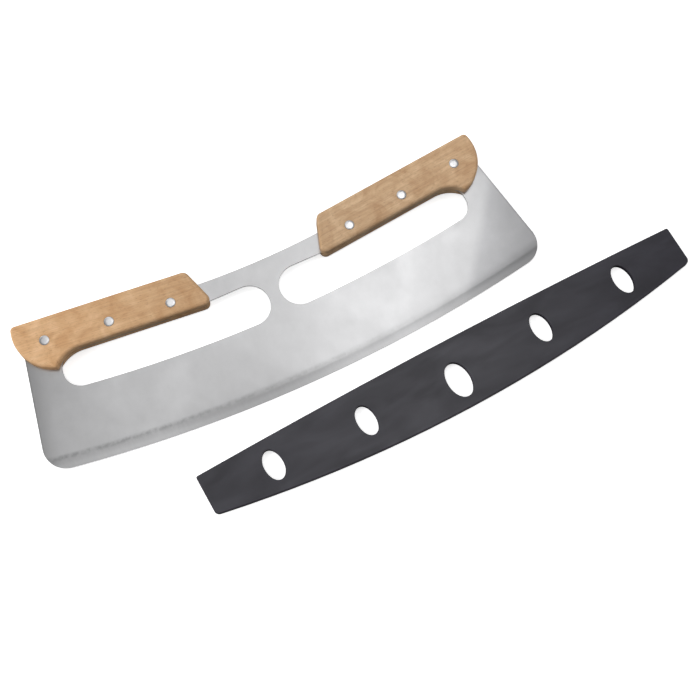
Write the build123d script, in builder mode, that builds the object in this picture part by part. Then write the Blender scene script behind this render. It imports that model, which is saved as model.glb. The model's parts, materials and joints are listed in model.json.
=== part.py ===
from build123d import *
from math import asin, atan2, cos, hypot, radians, sin, sqrt, tan
import os

# A two-handled rocking knife, 350 mm long, and the guard that caps its edge.
# Both lie on a table at z = 0. X runs along the knife, +Y from the cutting edge
# to the handles. Heights and reaches in the knife's own plane are measured from
# the middle of the cutting edge. Lengths are millimetres, slopes degrees.

# Blade plate
plate_thickness = 1.2
edge_thickness = 0.3
edge_radius = 981.0
bevel_height = 6.0
corner_reach = 177.8
corner_radius = 15.5
side_slope = 11.3
spine_height = 89.2
spine_width = 12.0
spine_radius = 600.0
spine_overlap = 11.8
shoulder_depth = 12.4

# Hand slots
slot_floor = 49.4
slot_inner_reach = 4.4
slot_end_inset = 33.5
slot_round_share = 0.49

# Handle scales
scale_thickness = 6.4
scale_edge_radius = 2.0
handle_rise = 5.7
handle_step_height = 6.9
handle_width = 25.8
handle_end_inset = 14.4
inner_end_reach = 38.2
inner_end_lean = 18.3
lobe_start_inset = 36.4
lobe_tip_inset = 17.4
lobe_depth = 36.8
lobe_arc_height = 8.7
inner_top_round = 4.5
inner_low_round = 4.0
outer_top_round = 3.0
lobe_tip_round = 1.2

# Rivets: a stud from the front is pressed into a socket from the back
rivet_along_shares = {"inner": 0.206, "middle": 0.531, "outer": 0.866}
rivet_up_shares = {"inner": 0.32, "middle": 0.35, "outer": 0.405}
rivet_head_radius = 3.3
rivet_head_thickness = 1.4
rivet_dome = 0.3
socket_radius = 2.4
socket_floor = 3.1
socket_end_gap = 0.5
stud_radius = 1.6
rivet_clearance = 0.03

# Guard: a flat pocket that the cutting edge slides into
guard_wall = 1.0
guard_web = 2.0
guard_end_web = 1.4
guard_end_wall = 0.9
guard_height = 46.7
guard_top_bow = 2.9
guard_end_slope = 0.8
guard_top_round = 1.2
guard_low_round = 3.5
guard_edge_round = 0.4
pocket_side_clearance = 0.2
pocket_edge_clearance = 0.25

# Windows through the guard, and how far down it each lies from the middle out
window_spacing = 65.1
window_width = 12.7
window_height = 21.2
middle_window_width = 15.8
middle_window_height = 25.0
window_drop_shares = (0.585, 0.504, 0.517)

# Places on the table
knife_x = -41.9
knife_y = -25.8
guard_step_x = 81.2
guard_step_y = -12.4
guard_turn = 3.4

overrun = 5.0


def drop_along_arc(radius, reach):
    """How far an arc has fallen away from its middle at this reach."""
    return radius - sqrt(radius**2 - reach**2)


# The handle's straight edges, both rising outward at the same slope
rise = tan(radians(handle_rise))
handle_upright = handle_width / cos(radians(handle_rise))


def handle_top(reach):
    return spine_height + handle_step_height + reach * rise


def handle_low(reach):
    return handle_top(reach) - handle_upright


outer_top_reach = corner_reach - handle_end_inset
outer_top = (outer_top_reach, handle_top(outer_top_reach))
lobe_tip = (outer_top_reach - lobe_tip_inset, handle_top(outer_top_reach) - lobe_depth)


def rivet_place(spot):
    reach = inner_end_reach + (outer_top_reach - inner_end_reach) * rivet_along_shares[spot]
    return reach, handle_low(reach) + handle_upright * rivet_up_shares[spot]


# Right handle's outline: straight top and lower edges, a slanted inner end, and
# a lobe that drops past the hand slot and swings round the outer end
lean = tan(radians(inner_end_lean))
inner_low = (inner_end_reach, handle_low(inner_end_reach))
inner_top_reach = inner_end_reach + handle_upright * lean / (1 - rise * lean)
inner_top = (inner_top_reach, handle_top(inner_top_reach))
lobe_start_reach = outer_top_reach - lobe_start_inset
lobe_start = (lobe_start_reach, handle_low(lobe_start_reach))

with BuildSketch() as handle_outline:
    with BuildLine():
        Line(inner_low, lobe_start)
        TangentArc(lobe_start, lobe_tip, tangent=(1, rise))
        SagittaArc(lobe_tip, outer_top, -lobe_arc_height)
        Line(outer_top, inner_top)
        Line(inner_top, inner_low)
    make_face()
    for corner, corner_round in (
        (inner_low, inner_low_round),
        (inner_top, inner_top_round),
        (outer_top, outer_top_round),
        (lobe_tip, lobe_tip_round),
    ):
        fillet(handle_outline.vertices().sort_by_distance(corner)[0], corner_round)

# The knife lies on its cutting edge and on the lowest points of its back scales
half_plate = plate_thickness / 2
half_handle = half_plate + scale_thickness
rest_run = handle_outline.sketch.bounding_box().min.Y + scale_edge_radius
rest_depth = half_handle - scale_edge_radius - edge_thickness / 2
knife_tilt = asin(scale_edge_radius / hypot(rest_run, rest_depth)) + atan2(rest_depth, rest_run)
knife_plane = Plane(
    origin=(knife_x, knife_y, edge_thickness / 2 * cos(knife_tilt)),
    x_dir=(1, 0, 0),
    z_dir=(0, -sin(knife_tilt), cos(knife_tilt)),
)
mirror_plane = Plane(origin=knife_plane.origin, z_dir=knife_plane.x_dir)
guard_plane = Plane(
    origin=(knife_x + guard_step_x, knife_y + guard_step_y, 0),
    x_dir=(cos(radians(guard_turn)), sin(radians(guard_turn)), 0),
    z_dir=(0, 0, 1),
)


# Blade body below the spine, between its two sloping sides
corner_height = drop_along_arc(edge_radius, corner_reach)
shoulder_height = handle_top(outer_top_reach) - shoulder_depth
shoulder_reach = corner_reach - (shoulder_height - corner_height) * tan(radians(side_slope))
spine_reach = inner_end_reach + spine_overlap
spine_end_height = spine_height + drop_along_arc(spine_radius, spine_reach)

with BuildSketch() as body_outline:
    with BuildLine():
        ThreePointArc((-corner_reach, corner_height), (0, 0), (corner_reach, corner_height))
        Line((corner_reach, corner_height), (shoulder_reach, shoulder_height))
        Line((shoulder_reach, shoulder_height), (spine_reach, spine_end_height))
        ThreePointArc((spine_reach, spine_end_height), (0, spine_height), (-spine_reach, spine_end_height))
        Line((-spine_reach, spine_end_height), (-shoulder_reach, shoulder_height))
        Line((-shoulder_reach, shoulder_height), (-corner_reach, corner_height))
    make_face()
    fillet(body_outline.vertices().sort_by(Axis.Y)[:2], corner_radius)

blade_half_length = body_outline.sketch.bounding_box().max.X

# Right hand slot: its floor follows the cutting edge and its ceiling the handle
slot_outer_reach = corner_reach - slot_end_inset
slot_arc_radius = edge_radius - slot_floor
slot_ceiling = spine_height - spine_width
slot_flat_end = (slot_ceiling - handle_low(0)) / rise


def slot_floor_at(reach):
    return slot_floor + drop_along_arc(slot_arc_radius, reach)


slot_middle_reach = (slot_inner_reach + slot_outer_reach) / 2
slot_inner_round = slot_round_share * (slot_ceiling - slot_floor_at(slot_inner_reach))
slot_outer_round = slot_round_share * (handle_low(slot_outer_reach) - slot_floor_at(slot_outer_reach))

with BuildSketch() as slot_outline:
    with BuildLine():
        ThreePointArc(
            (slot_inner_reach, slot_floor_at(slot_inner_reach)),
            (slot_middle_reach, slot_floor_at(slot_middle_reach)),
            (slot_outer_reach, slot_floor_at(slot_outer_reach)),
        )
        Polyline(
            (slot_outer_reach, slot_floor_at(slot_outer_reach)),
            (slot_outer_reach, handle_low(slot_outer_reach)),
            (slot_flat_end, slot_ceiling),
            (slot_inner_reach, slot_ceiling),
            (slot_inner_reach, slot_floor_at(slot_inner_reach)),
        )
    make_face()
    fillet(slot_outline.vertices().group_by(Axis.X)[0], slot_inner_round)
    fillet(slot_outline.vertices().sort_by(Axis.X)[-2:], slot_outer_round)


# Blade: one plate with full tangs under the handles, ground on both sides to
# the cutting edge
wedge_slope = (half_plate - edge_thickness / 2) / bevel_height
bevel_centre = knife_plane.from_local_coords((0, edge_radius, 0))
bevel_plane = Plane(origin=bevel_centre, x_dir=knife_plane.y_dir, z_dir=knife_plane.x_dir)

with BuildPart() as blade:
    with BuildSketch(knife_plane):
        add(body_outline.sketch)
        add(handle_outline.sketch)
        add(slot_outline.sketch, mode=Mode.SUBTRACT)
        mirror(handle_outline.sketch, about=Plane.YZ)
        mirror(slot_outline.sketch, about=Plane.YZ, mode=Mode.SUBTRACT)
    extrude(amount=half_plate, both=True)
    with BuildSketch(bevel_plane):
        with BuildLine():
            Polyline(
                (edge_radius - bevel_height, half_plate),
                (edge_radius + overrun, half_plate - wedge_slope * (bevel_height + overrun)),
                (edge_radius + overrun, half_plate + overrun),
                (edge_radius - bevel_height, half_plate + overrun),
                close=True,
            )
        make_face()
        mirror(about=Plane.XZ)
    revolve(axis=Axis(bevel_centre, knife_plane.z_dir), mode=Mode.SUBTRACT)
    for side in (-1, 1):
        for spot in rivet_along_shares:
            reach, height = rivet_place(spot)
            with Locations(knife_plane.location * Location((side * reach, height, half_plate))):
                Hole(radius=socket_radius + rivet_clearance, depth=plate_thickness + overrun)
blade.part.label = "blade"


# Handle scales: the right front one is cut, the other three mirror it
def bore_rivet_seats(face_plane):
    """Countersunk seats and shank holes for the three rivets of one scale."""
    for spot in rivet_along_shares:
        reach, height = rivet_place(spot)
        with Locations(face_plane.location * Location((reach, height, 0))):
            CounterBoreHole(
                radius=socket_radius + rivet_clearance,
                counter_bore_radius=rivet_head_radius + rivet_clearance,
                counter_bore_depth=rivet_head_thickness,
                depth=scale_thickness + overrun,
            )


with BuildPart() as right_front_scale:
    with BuildSketch(knife_plane.offset(half_plate)):
        add(handle_outline.sketch)
    extrude(amount=scale_thickness)
    outer_face = right_front_scale.faces().sort_by(Axis(knife_plane.origin, knife_plane.z_dir))[-1]
    fillet(outer_face.edges(), scale_edge_radius)
    bore_rivet_seats(knife_plane.offset(half_handle))
right_front_scale.part.label = "right_front_scale"

with BuildPart() as right_back_scale:
    mirror(right_front_scale.part, about=knife_plane)
right_back_scale.part.label = "right_back_scale"

with BuildPart() as left_front_scale:
    mirror(right_front_scale.part, about=mirror_plane)
left_front_scale.part.label = "left_front_scale"

with BuildPart() as left_back_scale:
    mirror(left_front_scale.part, about=knife_plane)
left_back_scale.part.label = "left_back_scale"


# Rivets, turned about an axis square to the plate. The profile's X is its
# radius and its Y the height above the middle of the plate
head_seat = half_handle - rivet_head_thickness
bore_floor = socket_floor - half_handle
stud_end = bore_floor + socket_end_gap


def rivet_axis(side, spot):
    reach, height = rivet_place(spot)
    return Axis(knife_plane.from_local_coords((side * reach, height, 0)), knife_plane.z_dir)


def rivet_profile_plane(axis):
    return Plane(origin=axis.position, x_dir=knife_plane.y_dir, z_dir=knife_plane.x_dir)


def make_stud(side, spot):
    """Front half of a rivet: a domed head on a solid pin."""
    axis = rivet_axis(side, spot)
    with BuildPart() as stud:
        with BuildSketch(rivet_profile_plane(axis)):
            with BuildLine():
                crown = (0, half_handle + rivet_dome)
                rim = (rivet_head_radius, half_handle)
                TangentArc(crown, rim, tangent=(1, 0))
                Polyline(
                    rim,
                    (rivet_head_radius, head_seat),
                    (stud_radius, head_seat),
                    (stud_radius, stud_end),
                    (0, stud_end),
                    crown,
                )
            make_face()
        revolve(axis=axis)
    return stud.part


def make_socket(side, spot):
    """Back half of a rivet: a domed head on a hollow shank."""
    axis = rivet_axis(side, spot)
    shank_top = head_seat - socket_end_gap
    bore_radius = stud_radius + rivet_clearance
    with BuildPart() as socket:
        with BuildSketch(rivet_profile_plane(axis)):
            with BuildLine():
                crown = (0, -half_handle - rivet_dome)
                rim = (rivet_head_radius, -half_handle)
                TangentArc(crown, rim, tangent=(1, 0))
                Polyline(
                    rim,
                    (rivet_head_radius, -head_seat),
                    (socket_radius, -head_seat),
                    (socket_radius, shank_top),
                    (bore_radius, shank_top),
                    (bore_radius, bore_floor),
                    (0, bore_floor),
                    crown,
                )
            make_face()
        revolve(axis=axis)
    return socket.part


# Pocket outline: the blade's own edge and corners with a clearance all round,
# open at the mouth. Heights are measured down from the middle of the mouth
pocket_floor = guard_web - guard_height
pocket_reach = blade_half_length + pocket_edge_clearance
pocket_arc_radius = edge_radius + pocket_edge_clearance
pocket_corner = pocket_floor + drop_along_arc(pocket_arc_radius, pocket_reach)

with BuildSketch() as pocket_outline:
    with BuildLine():
        ThreePointArc((-pocket_reach, pocket_corner), (0, pocket_floor), (pocket_reach, pocket_corner))
        Line((pocket_reach, pocket_corner), (pocket_reach, overrun))
        Line((pocket_reach, overrun), (-pocket_reach, overrun))
        Line((-pocket_reach, overrun), (-pocket_reach, pocket_corner))
    make_face()
    fillet(pocket_outline.vertices().sort_by(Axis.Y)[:2], corner_radius + pocket_edge_clearance)

# Guard outline: a web below the pocket and a wall past each of its ends
guard_low_end = pocket_corner - guard_end_web
guard_low_reach = pocket_reach + guard_end_wall
guard_top_reach = guard_low_reach - (guard_low_end + guard_top_bow) * tan(radians(guard_end_slope))
guard_low_rise = guard_low_end + guard_height
guard_arc_radius = (guard_low_reach**2 + guard_low_rise**2) / (2 * guard_low_rise)
guard_gap = plate_thickness + 2 * pocket_side_clearance
guard_thickness = guard_gap + 2 * guard_wall

with BuildSketch() as guard_outline:
    with BuildLine():
        ThreePointArc((-guard_low_reach, guard_low_end), (0, -guard_height), (guard_low_reach, guard_low_end))
        Line((guard_low_reach, guard_low_end), (guard_top_reach, -guard_top_bow))
        ThreePointArc((guard_top_reach, -guard_top_bow), (0, 0), (-guard_top_reach, -guard_top_bow))
        Line((-guard_top_reach, -guard_top_bow), (-guard_low_reach, guard_low_end))
    make_face()
    fillet(guard_outline.vertices().sort_by(Axis.Y)[:2], guard_low_round)
    fillet(guard_outline.vertices().sort_by(Axis.Y)[-2:], guard_top_round)


def window_drop(place):
    """Depth of a window's centre below the mouth, counting places from the middle."""
    depth = guard_height - drop_along_arc(guard_arc_radius, place * window_spacing)
    return depth * window_drop_shares[abs(place)]


with BuildPart() as blade_guard:
    with BuildSketch(guard_plane):
        add(guard_outline.sketch)
    extrude(amount=guard_thickness)
    faces = blade_guard.faces().sort_by(Axis.Z)
    fillet(faces[0].edges() + faces[-1].edges(), guard_edge_round)
    with BuildSketch(guard_plane.offset(guard_wall)):
        add(pocket_outline.sketch)
    extrude(amount=guard_gap, mode=Mode.SUBTRACT)
    with BuildSketch(guard_plane.offset(-overrun)):
        with Locations((0, -window_drop(0))):
            Ellipse(middle_window_width / 2, middle_window_height / 2)
        for place in (-2, -1, 1, 2):
            with Locations((place * window_spacing, -window_drop(place))):
                Ellipse(window_width / 2, window_height / 2)
    extrude(amount=guard_thickness + 2 * overrun, mode=Mode.SUBTRACT)
blade_guard.part.label = "blade_guard"


os.makedirs("parts", exist_ok=True)
for piece in (blade, right_front_scale, right_back_scale, left_front_scale, left_back_scale, blade_guard):
    export_step(piece.part, f"parts/{piece.part.label}.step")

for side, side_name in ((-1, "left"), (1, "right")):
    for spot in rivet_along_shares:
        stud = make_stud(side, spot)
        stud.label = f"{side_name}_{spot}_rivet_stud"
        export_step(stud, f"parts/{stud.label}.step")
        socket = make_socket(side, spot)
        socket.label = f"{side_name}_{spot}_rivet_socket"
        export_step(socket, f"parts/{socket.label}.step")
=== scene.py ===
import json
from math import cos, pi, radians, sin

import bpy
from mathutils import Matrix, Vector

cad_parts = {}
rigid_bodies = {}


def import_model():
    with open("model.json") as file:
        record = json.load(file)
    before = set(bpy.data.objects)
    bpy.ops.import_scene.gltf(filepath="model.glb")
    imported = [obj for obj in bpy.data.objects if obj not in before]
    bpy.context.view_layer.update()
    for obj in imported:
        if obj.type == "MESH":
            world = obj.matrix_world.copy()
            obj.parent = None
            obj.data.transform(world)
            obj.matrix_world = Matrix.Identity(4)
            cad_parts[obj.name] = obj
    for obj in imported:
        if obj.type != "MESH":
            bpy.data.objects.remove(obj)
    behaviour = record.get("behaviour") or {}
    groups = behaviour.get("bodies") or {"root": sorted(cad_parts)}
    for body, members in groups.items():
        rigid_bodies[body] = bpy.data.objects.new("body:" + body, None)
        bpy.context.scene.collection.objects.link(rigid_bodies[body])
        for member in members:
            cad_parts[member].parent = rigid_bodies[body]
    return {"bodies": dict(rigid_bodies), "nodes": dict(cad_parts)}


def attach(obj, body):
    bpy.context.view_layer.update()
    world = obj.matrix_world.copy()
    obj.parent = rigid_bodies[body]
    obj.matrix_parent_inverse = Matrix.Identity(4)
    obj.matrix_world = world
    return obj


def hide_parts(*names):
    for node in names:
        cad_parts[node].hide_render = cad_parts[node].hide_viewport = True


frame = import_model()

# the cube, lamp and camera of Blender's own start scene go first
frameObjects = set(frame["nodes"].values()) | set(frame["bodies"].values())
for startObject in [o for o in bpy.data.objects if o not in frameObjects]:
    bpy.data.objects.remove(startObject)
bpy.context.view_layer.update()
nodes = frame["nodes"]
mm = 0.001
print("frame:", len(nodes), "nodes")


def toLinear(hexColour):
    # sRGB hex to the linear colour that a shader socket takes
    channels = [int(hexColour[i:i + 2], 16) / 255 for i in (1, 3, 5)]
    return tuple(c / 12.92 if c <= 0.04045 else ((c + 0.055) / 1.055) ** 2.4 for c in channels) + (1.0,)


def addNode(tree, kind, inputs=None, **settings):
    # adds a node with its settings; an input is a fixed value or the socket that feeds it
    node = tree.nodes.new(kind)
    for name, value in settings.items():
        setattr(node, name, value)
    for socket, value in (inputs or {}).items():
        if isinstance(value, bpy.types.NodeSocket):
            tree.links.new(value, node.inputs[socket])
        else:
            node.inputs[socket].default_value = value
    return node


def startMaterial(name):
    material = bpy.data.materials.new(name)
    material.use_nodes = True
    material.node_tree.nodes.clear()
    return material, material.node_tree


# where the knife's plate lies: the middle of its edge in metres, and how many degrees it leans back
# on its scales
knifePose = {"place": (-0.0419, -0.0258, 0.00015), "lean": 5.118}


def knifePlane(tree):
    # coordinates in the plate: X along it, Y up from the middle of the edge, Z out of its front
    coords = addNode(tree, "ShaderNodeTexCoord")
    return addNode(tree, "ShaderNodeMapping", {
        "Vector": coords.outputs["Object"], "Location": knifePose["place"],
        "Rotation": (radians(knifePose["lean"]), 0, 0)}, vector_type="TEXTURE").outputs[0]


# stainless knife steel, rolled, satin-ground and then bevelled on a wheel: soft clouded greys, a rim
# darkened by painted shade, a soft shoulder that runs down into the bevel under a line of painted shade,
# a right end darkened by a painted reflection border, and paler blanked edges, partly painted shade
steel = {
    "colour": "#c9c9ca", "roughness": 0.285, "anisotropy": 0.3,
    # large clouds with a finer mottle in them, a little taller than wide, and the noise levels
    # between which they come in
    "cloudColour": "#bebebf", "cloudRoughness": 0.035, "cloudSize": 30 * mm, "cloudSquash": 0.85,
    "mottleSize": 8 * mm, "mottleShare": 0.4, "cloudLevels": (0.32, 0.68),
    # the right end is darker past a slanting border, a painted reflection border: where the border
    # meets the edge's height, how far it moves outwards per metre of height, and how soft it is
    "reflectionBorderShade": "#e9e9ea", "borderFoot": 108.5 * mm, "borderSlant": 0.74, "borderSoft": 5.5 * mm,
    # the cutting edge's arc, the bevel over it, and the shoulder that the plate curves down from
    "edgeRadius": 981 * mm, "bevelHeight": 6 * mm, "shoulderTop": 12 * mm, "shoulderDrop": 0.14 * mm,
    # width and length of the wheel's marks across the bevel, and the height where they are strongest
    "wheelMark": (1.6 * mm, 7 * mm), "wheelShare": 0.4, "wheelHeight": 5 * mm,
    # the bevel gets lighter towards its honed edge, between these heights
    "honedColour": "#dededf", "honedShare": 0.4, "honedHeights": (5 * mm, 2.5 * mm),
    # the dark line over the bevel is painted shade at its crease; it fades out to the right, where light
    # falls on the crease, and is patchy where the wheel skipped
    "lineShadeColour": "#838384", "lineHeight": 7.6 * mm, "lineWidth": 2.8 * mm, "lineShare": 0.62,
    "lineFade": (-110 * mm, 130 * mm), "skipSize": 3.4 * mm, "skipLeast": 0.5, "skipLevels": (0.42, 0.6),
    # the sides' half width at the edge's height, how much they lean in per metre of height, and the
    # rim along them darkened with painted shade, with its share at the left and the right side
    "halfWidth": 181.04 * mm, "sideLean": 0.1998,
    "rimColour": "#a2a2a3", "rimWidth": 13 * mm, "rimShadeShares": (0.5, 0.1),
    "burrWidth": 1.3 * mm, "burrShare": 0.6,    # a thin darker line where the sides were deburred, painted shade of the chamfer
    # blanked edges, which face less than this much out of the plate; their grey is partly painted shade
    "cutColour": "#bdbdbe", "cutRoughness": 0.45, "cutFacing": 0.5,
    # length and width of the belt lines; real ones are 0.05 mm wide, drawn coarser to show
    "beltLine": (26 * mm, 0.45 * mm), "beltDepth": 0.05 * mm,
}


def makeSteel():
    s = steel
    material, tree = startMaterial("satinGroundStainless")
    plane = knifePlane(tree)
    along, up = addNode(tree, "ShaderNodeSeparateXYZ", {0: plane}).outputs[:2]
    # height above the cutting edge, from the distance to the centre of its arc
    flat = addNode(tree, "ShaderNodeVectorMath", {0: plane, 1: (1, 1, 0)}, operation="MULTIPLY").outputs[0]
    distance = addNode(tree, "ShaderNodeVectorMath", {0: flat, 1: (0, s["edgeRadius"], 0)},
                       operation="DISTANCE").outputs["Value"]
    height = addNode(tree, "ShaderNodeMath", {0: s["edgeRadius"], 1: distance},
                     operation="SUBTRACT").outputs[0]
    # clouds of the satin grind, large and small
    tall = addNode(tree, "ShaderNodeMapping", {
        "Vector": plane, "Scale": (1, s["cloudSquash"], 1)}).outputs[0]
    cloud = addNode(tree, "ShaderNodeTexNoise", {
        "Vector": tall, "Scale": 1 / s["cloudSize"], "Detail": 2.0, "Distortion": 0.5}).outputs[0]
    mottle = addNode(tree, "ShaderNodeTexNoise", {
        "Vector": tall, "Scale": 1 / s["mottleSize"], "Detail": 5.0, "Roughness": 0.7}).outputs[0]
    both = addNode(tree, "ShaderNodeMix", {"Factor": s["mottleShare"], "A": cloud, "B": mottle},
                   data_type="FLOAT").outputs[0]
    clouds = addNode(tree, "ShaderNodeMapRange", {
        "Value": both, "From Min": s["cloudLevels"][0], "From Max": s["cloudLevels"][1]}).outputs[0]
    colour = addNode(tree, "ShaderNodeMix", {
        "Factor": clouds, "A": toLinear(s["colour"]), "B": toLinear(s["cloudColour"])},
        data_type="RGBA").outputs["Result"]
    # painted reflection border: the right end is darker past it
    border = addNode(tree, "ShaderNodeMath", {0: up, 1: s["borderSlant"], 2: s["borderFoot"]},
                     operation="MULTIPLY_ADD").outputs[0]
    past = addNode(tree, "ShaderNodeMath", {0: along, 1: border}, operation="SUBTRACT").outputs[0]
    reflectionBorder = addNode(tree, "ShaderNodeMapRange", {
        "Value": past, "From Min": -s["borderSoft"], "From Max": s["borderSoft"]},
        interpolation_type="SMOOTHSTEP").outputs[0]
    colour = addNode(tree, "ShaderNodeMix", {
        "Factor": reflectionBorder, "A": colour, "B": toLinear(s["reflectionBorderShade"])},
        data_type="RGBA", blend_type="MULTIPLY").outputs["Result"]
    # the wheel's marks stand across the bevel only
    markVector = addNode(tree, "ShaderNodeMapping", {
        "Vector": plane, "Scale": (1 / s["wheelMark"][0], 1 / s["wheelMark"][1], 1)}).outputs[0]
    marks = addNode(tree, "ShaderNodeTexNoise", {
        "Vector": markVector, "Scale": 1.0, "Detail": 3.0}).outputs[0]
    onBevel = addNode(tree, "ShaderNodeMapRange", {
        "Value": height, "From Min": s["lineHeight"], "From Max": s["wheelHeight"],
        "To Max": s["wheelShare"]}).outputs[0]
    marked = addNode(tree, "ShaderNodeMath", {0: marks, 1: onBevel}, operation="MULTIPLY").outputs[0]
    honed = addNode(tree, "ShaderNodeMapRange", {
        "Value": height, "From Min": s["honedHeights"][0], "From Max": s["honedHeights"][1],
        "To Max": s["honedShare"]}).outputs[0]
    # painted shade: a dark line where the shoulder meets the bevel, fading out to the right where light
    # falls on it
    offLine = addNode(tree, "ShaderNodeMath", {0: height, 1: s["lineHeight"]},
                      operation="SUBTRACT").outputs[0]
    awayLine = addNode(tree, "ShaderNodeMath", {0: offLine}, operation="ABSOLUTE").outputs[0]
    creaseShade = addNode(tree, "ShaderNodeMapRange", {
        "Value": awayLine, "From Max": s["lineWidth"], "To Min": s["lineShare"], "To Max": 0.0},
        interpolation_type="SMOOTHSTEP").outputs[0]
    fade = addNode(tree, "ShaderNodeMapRange", {
        "Value": along, "From Min": s["lineFade"][0], "From Max": s["lineFade"][1],
        "To Min": 1.0, "To Max": 0.0}).outputs[0]
    faded = addNode(tree, "ShaderNodeMath", {0: creaseShade, 1: fade}, operation="MULTIPLY").outputs[0]
    skips = addNode(tree, "ShaderNodeTexNoise", {
        "Vector": plane, "Scale": 1 / s["skipSize"], "Detail": 3.0, "Roughness": 0.6}).outputs[0]
    skip = addNode(tree, "ShaderNodeMapRange", {
        "Value": skips, "From Min": s["skipLevels"][0], "From Max": s["skipLevels"][1],
        "To Min": s["skipLeast"]}).outputs[0]
    patchyCreaseShade = addNode(tree, "ShaderNodeMath", {0: faded, 1: skip}, operation="MULTIPLY").outputs[0]
    # the rim: how near a point is to the slanting side
    reach = addNode(tree, "ShaderNodeMath", {0: along}, operation="ABSOLUTE").outputs[0]
    leaned = addNode(tree, "ShaderNodeMath", {0: up, 1: s["sideLean"], 2: reach},
                     operation="MULTIPLY_ADD").outputs[0]
    inside = addNode(tree, "ShaderNodeMath", {0: s["halfWidth"], 1: leaned},
                     operation="SUBTRACT").outputs[0]
    # painted shade: the rim darkens towards the sides, more at the left side than at the right
    rimShadeShare = addNode(tree, "ShaderNodeMapRange", {
        "Value": along, "From Min": -s["halfWidth"], "From Max": s["halfWidth"],
        "To Min": s["rimShadeShares"][0], "To Max": s["rimShadeShares"][1]}).outputs[0]
    rimShade = addNode(tree, "ShaderNodeMapRange", {
        "Value": inside, "From Max": s["rimWidth"], "To Min": rimShadeShare, "To Max": 0.0},
        interpolation_type="SMOOTHSTEP").outputs[0]
    # painted shade of the deburred chamfer: a thin darker line along the sides
    burrShade = addNode(tree, "ShaderNodeMapRange", {
        "Value": inside, "From Max": s["burrWidth"], "To Min": s["burrShare"], "To Max": 0.0}).outputs[0]
    # blanked edges face along the plate, not out of it
    surface = addNode(tree, "ShaderNodeNewGeometry").outputs
    outOfPlate = (0, -sin(radians(knifePose["lean"])), cos(radians(knifePose["lean"])))
    facing = addNode(tree, "ShaderNodeVectorMath", {0: surface["True Normal"], 1: outOfPlate},
                     operation="DOT_PRODUCT").outputs["Value"]
    facingOut = addNode(tree, "ShaderNodeMath", {0: facing}, operation="ABSOLUTE").outputs[0]
    # the blanked edges' grey is their own rougher finish and partly painted shade
    cut = addNode(tree, "ShaderNodeMath", {0: facingOut, 1: s["cutFacing"]},
                  operation="LESS_THAN").outputs[0]
    for share, tint in ((marked, "rimColour"), (honed, "honedColour"), (patchyCreaseShade, "lineShadeColour"),
                        (rimShade, "rimColour"), (burrShade, "lineShadeColour"), (cut, "cutColour")):
        colour = addNode(tree, "ShaderNodeMix", {
            "Factor": share, "A": colour, "B": toLinear(s[tint])}, data_type="RGBA").outputs["Result"]
    groundRough = addNode(tree, "ShaderNodeMapRange", {
        "Value": clouds, "To Min": s["roughness"], "To Max": s["roughness"] + s["cloudRoughness"]})
    rough = addNode(tree, "ShaderNodeMix", {
        "Factor": cut, "A": groundRough.outputs[0], "B": s["cutRoughness"]},
        data_type="FLOAT").outputs["Result"]
    # the shoulder: the plate falls away in a curve, as the square, until it has the bevel's slope
    fall = addNode(tree, "ShaderNodeMapRange", {
        "Value": height, "From Min": s["shoulderTop"], "From Max": s["bevelHeight"]}).outputs[0]
    curve = addNode(tree, "ShaderNodeMath", {0: fall, 1: 2.0}, operation="POWER").outputs[0]
    shoulder = addNode(tree, "ShaderNodeBump", {
        "Strength": 1.0, "Distance": s["shoulderDrop"], "Height": curve}, invert=True).outputs[0]
    beltVector = addNode(tree, "ShaderNodeMapping", {
        "Vector": plane, "Scale": (1 / s["beltLine"][0], 1 / s["beltLine"][1], 1)}).outputs[0]
    belt = addNode(tree, "ShaderNodeTexNoise", {
        "Vector": beltVector, "Scale": 1.0, "Detail": 4.0, "Roughness": 0.7}).outputs[0]
    bump = addNode(tree, "ShaderNodeBump", {
        "Strength": 0.1, "Distance": s["beltDepth"], "Height": belt, "Normal": shoulder}).outputs[0]
    # the gloss stretches across the belt lines, in whatever face they run over
    across = addNode(tree, "ShaderNodeVectorMath", {0: surface["Normal"], 1: (1, 0, 0)},
                     operation="CROSS_PRODUCT").outputs[0]
    shader = addNode(tree, "ShaderNodeBsdfPrincipled", {
        "Base Color": colour, "Metallic": 1.0, "Roughness": rough,
        "Anisotropic": s["anisotropy"], "Normal": bump, "Tangent": across})
    addNode(tree, "ShaderNodeOutputMaterial", {"Surface": shader.outputs[0]})
    return material


steelMaterial = makeSteel()
print("steel made")

# oiled beech, planed and sanded: pale straight grain with yellow and pink patches, faint growth
# bands that wander across the handle, and the small dark flecks that beech shows
wood = {
    # each handle's colours, the slope of its grain in degrees, its middle in the plate and the shift
    # of its pattern in metres, and the brightness that it changes between from left to right
    "left": {"pale": "#dab58c", "warm": "#c1966b", "dark": "#8a6240", "slope": -5.7,
             "centre": (-0.1008, 0.0896), "shift": (-0.295, 0.441, 0.191), "drift": (1.16, 0.88)},
    "right": {"pale": "#d6b691", "warm": "#b6916c", "dark": "#7d5b41", "slope": 5.7,
              "centre": (0.1008, 0.0896), "shift": (-0.443, 0.475, -0.477), "drift": (0.93, 1.04)},
    "halfLength": 63 * mm, "roughness": 0.48, "patchRoughness": 0.08, "ior": 1.47,
    "patchSize": 15 * mm, "patchLevels": (0.34, 0.66),
    # the bands are drawn out along the grain; a wave texture of scale 1 repeats about every 0.3
    "bandWidth": 4.5 * mm, "bandShare": 0.3, "bandStretch": (0.12, 1, 0.6), "waveRepeat": 0.3,
    # length and width of the fibre streaks
    "fibre": (30 * mm, 0.9 * mm), "fibreShare": 0.3, "fibreLevels": (0.45, 0.75),
    # length and width of the flecks; real ones are 0.2 mm wide, drawn coarser to show
    "fleck": (2.4 * mm, 0.5 * mm), "fleckShare": 0.4, "fleckLevels": (0.6, 0.72), "fleckDepth": 0.06 * mm,
}


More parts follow.
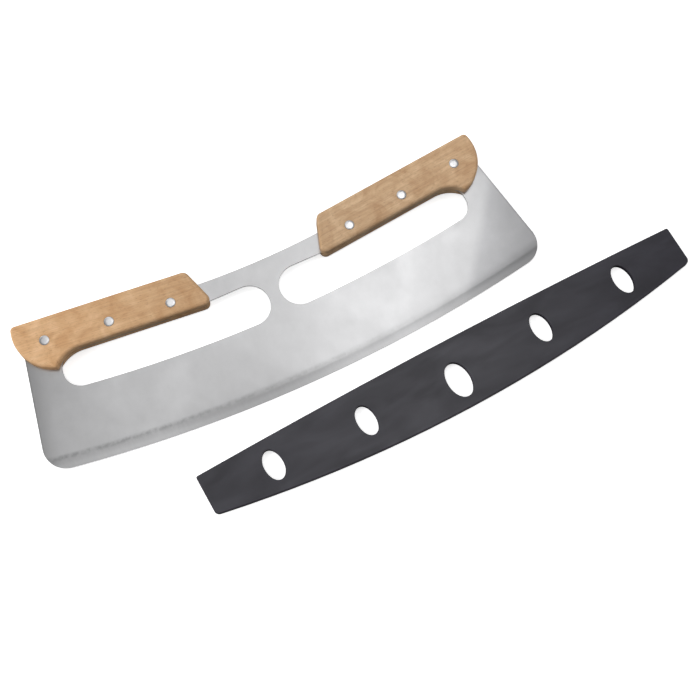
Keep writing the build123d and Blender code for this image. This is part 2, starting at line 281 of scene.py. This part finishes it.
def makeWood(side):
    w, s = wood, wood[side]
    material, tree = startMaterial(side + "OiledBeech")
    # grain coordinates: X along the handle, from its middle
    onHandle = addNode(tree, "ShaderNodeMapping", {
        "Vector": knifePlane(tree), "Location": (*s["centre"], 0),
        "Rotation": (0, 0, radians(s["slope"]))}, vector_type="TEXTURE").outputs[0]
    grain = addNode(tree, "ShaderNodeVectorMath", {0: onHandle, 1: s["shift"]}).outputs[0]
    patches = addNode(tree, "ShaderNodeTexNoise", {
        "Vector": grain, "Scale": 1 / w["patchSize"], "Detail": 3.0, "Roughness": 0.6,
        "Distortion": 0.8}).outputs[0]
    patch = addNode(tree, "ShaderNodeMapRange", {
        "Value": patches, "From Min": w["patchLevels"][0], "From Max": w["patchLevels"][1]}).outputs[0]
    colour = addNode(tree, "ShaderNodeMix", {
        "Factor": patch, "A": toLinear(s["pale"]), "B": toLinear(s["warm"])},
        data_type="RGBA").outputs["Result"]
    # growth bands: across the grain, bent by slow noise into long ovals
    long = addNode(tree, "ShaderNodeMapping", {"Vector": grain, "Scale": w["bandStretch"]}).outputs[0]
    bands = addNode(tree, "ShaderNodeTexWave", {
        "Vector": long, "Scale": w["waveRepeat"] / w["bandWidth"], "Distortion": 7.0, "Detail": 2.0,
        "Detail Scale": 0.25, "Detail Roughness": 0.6}, wave_type="BANDS", bands_direction="Y")
    band = addNode(tree, "ShaderNodeMath", {0: bands.outputs["Fac"], 1: w["bandShare"]},
                   operation="MULTIPLY").outputs[0]
    fibreVector = addNode(tree, "ShaderNodeMapping", {
        "Vector": grain, "Scale": (1 / w["fibre"][0], 1 / w["fibre"][1], 1 / w["fibre"][1])}).outputs[0]
    fibres = addNode(tree, "ShaderNodeTexNoise", {
        "Vector": fibreVector, "Scale": 1.0, "Detail": 3.0, "Roughness": 0.6, "Distortion": 0.3})
    fibre = addNode(tree, "ShaderNodeMapRange", {
        "Value": fibres.outputs[0], "From Min": w["fibreLevels"][0], "From Max": w["fibreLevels"][1],
        "To Max": w["fibreShare"]}).outputs[0]
    fleckVector = addNode(tree, "ShaderNodeMapping", {
        "Vector": grain, "Scale": (1 / w["fleck"][0], 1 / w["fleck"][1], 1 / w["fleck"][1])}).outputs[0]
    flecks = addNode(tree, "ShaderNodeTexNoise", {"Vector": fleckVector, "Scale": 1.0, "Detail": 1.0})
    fleck = addNode(tree, "ShaderNodeMapRange", {
        "Value": flecks.outputs[0], "From Min": w["fleckLevels"][0],
        "From Max": w["fleckLevels"][1]}).outputs[0]
    flecked = addNode(tree, "ShaderNodeMath", {0: fleck, 1: w["fleckShare"]},
                      operation="MULTIPLY").outputs[0]
    for share, tint in ((band, "warm"), (fibre, "dark"), (flecked, "dark")):
        colour = addNode(tree, "ShaderNodeMix", {
            "Factor": share, "A": colour, "B": toLinear(s[tint])}, data_type="RGBA").outputs["Result"]
    # the brightness changes from the handle's left end to its right end
    alongHandle = addNode(tree, "ShaderNodeSeparateXYZ", {0: onHandle}).outputs["X"]
    drift = addNode(tree, "ShaderNodeMapRange", {
        "Value": alongHandle, "From Min": -w["halfLength"], "From Max": w["halfLength"],
        "To Min": s["drift"][0], "To Max": s["drift"][1]}).outputs[0]
    drifted = addNode(tree, "ShaderNodeHueSaturation", {"Value": drift, "Color": colour})
    rough = addNode(tree, "ShaderNodeMapRange", {
        "Value": patch, "To Min": w["roughness"], "To Max": w["roughness"] + w["patchRoughness"]})
    bump = addNode(tree, "ShaderNodeBump", {
        "Strength": 0.6, "Distance": w["fleckDepth"], "Height": fleck}, invert=True)
    shader = addNode(tree, "ShaderNodeBsdfPrincipled", {
        "Base Color": drifted.outputs[0], "Roughness": rough.outputs[0], "IOR": w["ior"],
        "Normal": bump.outputs[0]})
    addNode(tree, "ShaderNodeOutputMaterial", {"Surface": shader.outputs[0]})
    return material


woodMaterials = {side: makeWood(side) for side in ("left", "right")}
print("wood made")

# the six rivets: a domed head with a rolled rim on each side of the knife, and the shank between.
# Places are along the plate from its middle and up from the edge, the same on both sides
rivet = {
    "places": ((63.99 * mm, 84.86 * mm), (104.68 * mm, 89.70 * mm), (146.62 * mm, 95.31 * mm)),
    "headRadius": 3.3 * mm, "rimHeight": 6.72 * mm, "headRise": 0.58 * mm, "headDepth": 1.1 * mm,
    "shankRadius": 2.4 * mm, "segments": 48, "rings": 24,
    "colour": "#f6f6f7", "dullColour": "#e9e9eb",
    # the rim's painted shade comes in between these shares of the head's rise
    "rimColour": "#8b8e94", "rimShadeShare": 0.25, "rimRises": (0.8, 0.2),
    "roughness": 0.33, "roughSpread": 0.06, "dentSize": 1.1 * mm, "dentDepth": 0.015 * mm,
}


def makeRivetMetal():
    # aluminium, cold-headed and tumbled: nearly white, with small soft dents and a rolled rim
    # darkened by painted shade
    r = rivet
    material, tree = startMaterial("tumbledAluminium")
    plane = knifePlane(tree)
    dents = addNode(tree, "ShaderNodeTexNoise", {
        "Vector": plane, "Scale": 1 / r["dentSize"], "Detail": 2.0}).outputs[0]
    # the head's own curve tells how near its rim a point is
    outwards = addNode(tree, "ShaderNodeSeparateXYZ", {0: plane}).outputs["Z"]
    height = addNode(tree, "ShaderNodeMath", {0: outwards}, operation="ABSOLUTE").outputs[0]
    # painted shade: the rim of each head is darkened
    rimShade = addNode(tree, "ShaderNodeMapRange", {
        "Value": height, "From Min": r["rimHeight"] + r["rimRises"][0] * r["headRise"],
        "From Max": r["rimHeight"] + r["rimRises"][1] * r["headRise"],
        "To Max": r["rimShadeShare"]}).outputs[0]
    colour = toLinear(r["colour"])
    for share, tint in ((dents, "dullColour"), (rimShade, "rimColour")):
        colour = addNode(tree, "ShaderNodeMix", {
            "Factor": share, "A": colour, "B": toLinear(r[tint])}, data_type="RGBA").outputs["Result"]
    rough = addNode(tree, "ShaderNodeMapRange", {
        "Value": dents, "To Min": r["roughness"] - r["roughSpread"] / 2,
        "To Max": r["roughness"] + r["roughSpread"]})
    bump = addNode(tree, "ShaderNodeBump", {
        "Strength": 1.0, "Distance": r["dentDepth"], "Height": dents})
    shader = addNode(tree, "ShaderNodeBsdfPrincipled", {
        "Base Color": colour, "Metallic": 1.0, "Roughness": rough.outputs[0], "Normal": bump.outputs[0]})
    addNode(tree, "ShaderNodeOutputMaterial", {"Surface": shader.outputs[0]})
    return material


def rivetRule(material):
    # one rivet on each point: a ball pressed into two heads, joined by a shank
    tree = bpy.data.node_groups.new("rivetRule", "GeometryNodeTree")
    addSocket = tree.interface.new_socket
    addSocket(name="Geometry", in_out="INPUT", socket_type="NodeSocketGeometry")
    sizes = ("headRadius", "rimHeight", "headRise", "headDepth", "shankRadius", "lean")
    counts = ("segments", "rings")
    sockets = {}
    for names, kind in ((sizes, "NodeSocketFloat"), (counts, "NodeSocketInt")):
        for name in names:
            sockets[name] = addSocket(name=name, in_out="INPUT", socket_type=kind).identifier
    addSocket(name="Geometry", in_out="OUTPUT", socket_type="NodeSocketGeometry")
    given = addNode(tree, "NodeGroupInput").outputs
    ball = addNode(tree, "GeometryNodeMeshUVSphere", {
        "Segments": given["segments"], "Rings": given["rings"], "Radius": 1.0}).outputs["Mesh"]
    spot = addNode(tree, "GeometryNodeInputPosition").outputs[0]
    rise = addNode(tree, "ShaderNodeSeparateXYZ", {0: spot}).outputs["Z"]
    level = addNode(tree, "ShaderNodeVectorMath", {0: spot, 1: (1, 1, 0)}, operation="MULTIPLY").outputs[0]
    # the crown stays flat and the rim rolls over, because the reach grows as the root of the ball's own
    out = addNode(tree, "ShaderNodeVectorMath", {0: level}, operation="LENGTH").outputs["Value"]
    offZero = addNode(tree, "ShaderNodeMath", {0: out, 1: 1e-6}, operation="MAXIMUM").outputs[0]
    root = addNode(tree, "ShaderNodeMath", {0: offZero, 1: 0.5}, operation="POWER").outputs[0]
    widen = addNode(tree, "ShaderNodeMath", {0: given["headRadius"], 1: root},
                    operation="DIVIDE").outputs[0]
    wide = addNode(tree, "ShaderNodeVectorMath", {0: level, "Scale": widen}, operation="SCALE").outputs[0]
    upper = addNode(tree, "ShaderNodeMath", {0: rise, 1: 0.0}, operation="GREATER_THAN").outputs[0]
    tall = addNode(tree, "ShaderNodeMix", {
        "Factor": upper, "A": given["headDepth"], "B": given["headRise"]},
        data_type="FLOAT").outputs["Result"]
    lift = addNode(tree, "ShaderNodeMath", {0: rise, 1: tall, 2: given["rimHeight"]},
                   operation="MULTIPLY_ADD").outputs[0]
    up = addNode(tree, "ShaderNodeCombineXYZ", {"Z": lift}).outputs[0]
    place = addNode(tree, "ShaderNodeVectorMath", {0: wide, 1: up}, operation="ADD").outputs[0]
    head = addNode(tree, "GeometryNodeSetPosition", {"Geometry": ball, "Position": place}).outputs[0]
    backHead = addNode(tree, "GeometryNodeTransform", {"Geometry": head, "Rotation": (pi, 0, 0)}).outputs[0]
    length = addNode(tree, "ShaderNodeMath", {0: given["rimHeight"], 1: 2.0},
                     operation="MULTIPLY").outputs[0]
    shank = addNode(tree, "GeometryNodeMeshCylinder", {
        "Vertices": given["segments"], "Radius": given["shankRadius"], "Depth": length}).outputs["Mesh"]
    whole = addNode(tree, "GeometryNodeJoinGeometry")
    for part in (head, backHead, shank):
        tree.links.new(part, whole.inputs[0])
    turn = addNode(tree, "ShaderNodeCombineXYZ", {"X": given["lean"]}).outputs[0]
    placed = addNode(tree, "GeometryNodeInstanceOnPoints", {
        "Points": given["Geometry"], "Instance": whole.outputs[0], "Rotation": turn}).outputs[0]
    real = addNode(tree, "GeometryNodeRealizeInstances", {"Geometry": placed}).outputs[0]
    smooth = addNode(tree, "GeometryNodeSetShadeSmooth", {"Geometry": real}).outputs[0]
    painted = addNode(tree, "GeometryNodeSetMaterial", {
        "Geometry": smooth, "Material": material}).outputs[0]
    addNode(tree, "NodeGroupOutput", {"Geometry": painted})
    return tree, sockets


def makeRivets():
    r = rivet
    lean = radians(knifePose["lean"])
    turned = Matrix.Rotation(lean, 3, "X")
    spots = [turned @ Vector((side * along, up, 0)) + Vector(knifePose["place"])
             for side in (-1, 1) for along, up in r["places"]]
    mesh = bpy.data.meshes.new("handleRivets")
    mesh.from_pydata(spots, [], [])
    rivets = bpy.data.objects.new("handleRivets", mesh)
    bpy.context.scene.collection.objects.link(rivets)
    tree, sockets = rivetRule(makeRivetMetal())
    rule = rivets.modifiers.new("rivetRule", "NODES")
    rule.node_group = tree
    for name, socket in sockets.items():
        rule[socket] = lean if name == "lean" else r[name]
    depsgraph = bpy.context.evaluated_depsgraph_get()
    made = bpy.data.meshes.new_from_object(rivets.evaluated_get(depsgraph), depsgraph=depsgraph)
    rivets.modifiers.clear()
    rivets.data = made
    made.name = "handleRivets"
    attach(rivets, "knife")
    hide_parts(*[n for n in nodes if "rivet" in n])
    return rivets


rivets = makeRivets()
print("rivets made:", len(rivets.data.polygons), "faces")

# polypropylene, moulded in a spark-eroded tool: matt charcoal with a fine even grain and faint
# cloudy flow marks
plastic = {
    "colour": "#333239", "flowColour": "#28272d", "roughness": 0.34, "flowRoughness": 0.08, "ior": 1.49,
    "flow": (45 * mm, 16 * mm), "flowLevels": (0.35, 0.65),    # length and width of the flow marks
    "grainSize": 0.8 * mm, "grainDepth": 0.04 * mm,    # real grain is about 0.1 mm, drawn coarser to show
}


def makePlastic():
    p = plastic
    material, tree = startMaterial("mouldedCharcoalPlastic")
    coords = addNode(tree, "ShaderNodeTexCoord").outputs["Object"]
    flowVector = addNode(tree, "ShaderNodeMapping", {
        "Vector": coords, "Scale": (1 / p["flow"][0], 1 / p["flow"][1], 1 / p["flow"][1])}).outputs[0]
    flows = addNode(tree, "ShaderNodeTexNoise", {
        "Vector": flowVector, "Scale": 1.0, "Detail": 3.0, "Distortion": 0.6})
    flow = addNode(tree, "ShaderNodeMapRange", {
        "Value": flows.outputs[0], "From Min": p["flowLevels"][0],
        "From Max": p["flowLevels"][1]}).outputs[0]
    colour = addNode(tree, "ShaderNodeMix", {
        "Factor": flow, "A": toLinear(p["colour"]), "B": toLinear(p["flowColour"])}, data_type="RGBA")
    rough = addNode(tree, "ShaderNodeMapRange", {
        "Value": flow, "To Min": p["roughness"], "To Max": p["roughness"] + p["flowRoughness"]})
    grain = addNode(tree, "ShaderNodeTexNoise", {
        "Vector": coords, "Scale": 1 / p["grainSize"], "Detail": 2.0})
    bump = addNode(tree, "ShaderNodeBump", {
        "Strength": 0.6, "Distance": p["grainDepth"], "Height": grain.outputs[0]})
    shader = addNode(tree, "ShaderNodeBsdfPrincipled", {
        "Base Color": colour.outputs["Result"], "Roughness": rough.outputs[0], "IOR": p["ior"],
        "Normal": bump.outputs[0]})
    addNode(tree, "ShaderNodeOutputMaterial", {"Surface": shader.outputs[0]})
    return material


plasticMaterial = makePlastic()
print("plastic made")

for name, node in nodes.items():
    if name == "blade":
        finish = steelMaterial
    elif name == "blade_guard":
        finish = plasticMaterial
    elif "rivet" in name:
        finish = rivets.data.materials[0]
    else:
        finish = woodMaterials[name.split("_")[0]]
    for slot in node.material_slots:
        slot.material = finish
print("materials on all nodes")

# plain pale floor, painted, in metres. It glows a little, as a light table does, so that shadows on
# it stay faint, and it neither lights the object nor shows in its gloss
pale = {"reach": 30.0, "drop": 0.2 * mm, "colour": "#f3f3f3", "roughness": 0.9, "specular": 0.1,
        "glowColour": "#ffffff", "glow": 0.65}


def makeFloor():
    corners = [(x * pale["reach"], y * pale["reach"], -pale["drop"])
               for x, y in ((-1, -1), (1, -1), (1, 1), (-1, 1))]
    mesh = bpy.data.meshes.new("paleFloor")
    mesh.from_pydata(corners, [], [(0, 1, 2, 3)])
    floor = bpy.data.objects.new("paleFloor", mesh)
    bpy.context.scene.collection.objects.link(floor)
    material, tree = startMaterial("paleFloorPaint")
    shader = addNode(tree, "ShaderNodeBsdfPrincipled", {
        "Base Color": toLinear(pale["colour"]), "Roughness": pale["roughness"],
        "Specular IOR Level": pale["specular"], "Emission Color": toLinear(pale["glowColour"]),
        "Emission Strength": pale["glow"]})
    addNode(tree, "ShaderNodeOutputMaterial", {"Surface": shader.outputs[0]})
    mesh.materials.append(material)
    floor.visible_diffuse = False
    floor.visible_glossy = False


makeFloor()
print("floor made")

# soft studio light: hotBox and coolBox hang close over the knife and give its steel a slow rise from
# left to right. Three large boxes, at the left, the back and the right, light the wood, the guard and
# the floor. The left and right ones aren't mirrored, so the steel stays readable from the sides
softboxes = {
    # place, size and the point it aims at in metres, turn in degrees, radiance of the face
    "hotBox": {"place": (0.202, 0.127, 0.7), "size": (0.415, 0.246), "turn": 49.0, "radiance": 1.90},
    "coolBox": {"place": (-0.11, 0.181, 0.7), "size": (0.267, 0.629), "turn": -30.5, "radiance": 0.99},
    "leftBox": {"place": (-1.8, 0.45, 1.05), "size": (1.8, 1.2), "aim": (0, 0, 0), "radiance": 5.5,
                "mirrored": False},
    "backBox": {"place": (-0.2, 1.9, 1.2), "size": (3.0, 1.2), "aim": (0, 0, 0), "radiance": 0.8},
    "rightBox": {"place": (1.85, -0.35, 0.85), "size": (1.6, 0.9), "aim": (0, 0, 0), "radiance": 3.6,
                 "mirrored": False},
}


def addSoftbox(name, light):
    data = bpy.data.lights.new(name, "AREA")
    data.shape = "RECTANGLE"
    data.size, data.size_y = light["size"]
    data.energy = light["radiance"] * pi * data.size * data.size_y
    lamp = bpy.data.objects.new(name, data)
    lamp.location = light["place"]
    if "aim" in light:
        lamp.rotation_euler = (Vector(light["aim"]) - lamp.location).to_track_quat("-Z", "Y").to_euler()
    else:
        lamp.rotation_euler.z = radians(light["turn"])
    lamp.visible_camera = False
    lamp.visible_glossy = light.get("mirrored", True)
    bpy.context.scene.collection.objects.link(lamp)


for name, light in softboxes.items():
    addSoftbox(name, light)
print("softboxes made:", len(softboxes))

room = {
    # brightness straight up, at the back horizon, at the front horizon and under the table
    "top": 0.17, "back": 0.42, "front": 0.46, "below": 0.08,
    # how far back and how high a direction points, from -1 to 1, where one turns into the next
    "frontToBack": (-0.6, 0.6), "sideToTop": (0.2, 0.8), "tableHeight": -0.04,
    "backdrop": 0.82,    # what the camera sees past the floor, like the floor far away
}


def makeRoom():
    world = bpy.data.worlds.new("studioRoom")
    bpy.context.scene.world = world
    world.use_nodes = True
    tree = world.node_tree
    tree.nodes.clear()
    direction = addNode(tree, "ShaderNodeTexCoord").outputs["Generated"]
    split = addNode(tree, "ShaderNodeSeparateXYZ", {0: direction}).outputs
    horizon = addNode(tree, "ShaderNodeMapRange", {
        "Value": split["Y"], "From Min": room["frontToBack"][0], "From Max": room["frontToBack"][1],
        "To Min": room["front"], "To Max": room["back"]}).outputs[0]
    rise = addNode(tree, "ShaderNodeMapRange", {
        "Value": split["Z"], "From Min": room["sideToTop"][0], "From Max": room["sideToTop"][1]},
        interpolation_type="SMOOTHSTEP").outputs[0]
    upper = addNode(tree, "ShaderNodeMix", {"Factor": rise, "A": horizon, "B": room["top"]},
                    data_type="FLOAT").outputs[0]
    aboveTable = addNode(tree, "ShaderNodeMath", {0: split["Z"], 1: room["tableHeight"]},
                         operation="GREATER_THAN").outputs[0]
    lighting = addNode(tree, "ShaderNodeMix", {"Factor": aboveTable, "A": room["below"], "B": upper},
                       data_type="FLOAT").outputs[0]
    toCamera = addNode(tree, "ShaderNodeLightPath").outputs["Is Camera Ray"]
    seen = addNode(tree, "ShaderNodeMix", {"Factor": toCamera, "A": lighting, "B": room["backdrop"]},
                   data_type="FLOAT").outputs[0]
    background = addNode(tree, "ShaderNodeBackground", {"Color": (1, 1, 1, 1), "Strength": seen})
    addNode(tree, "ShaderNodeOutputWorld", {"Surface": background.outputs[0]})


makeRoom()
bpy.context.scene.view_settings.view_transform = "Standard"
print("room made")

# camera at the photograph's viewing angle, from a fit of the part's outlines to it
view = {
    "place": (-0.13178, -0.25542, 0.76658), "turn": (19.198, -0.292, -25.57),    # metres and degrees
    "lens": 64.286, "sensor": 36.0,    # millimetres, as Blender counts them
    "clipStart": 0.01,
}
cameraData = bpy.data.cameras.new("photoCamera")
cameraData.lens = view["lens"]
cameraData.sensor_width = view["sensor"]
cameraData.clip_start = view["clipStart"]
camera = bpy.data.objects.new("photoCamera", cameraData)
camera.location = view["place"]
camera.rotation_euler = [radians(a) for a in view["turn"]]
bpy.context.scene.collection.objects.link(camera)
bpy.context.scene.camera = camera
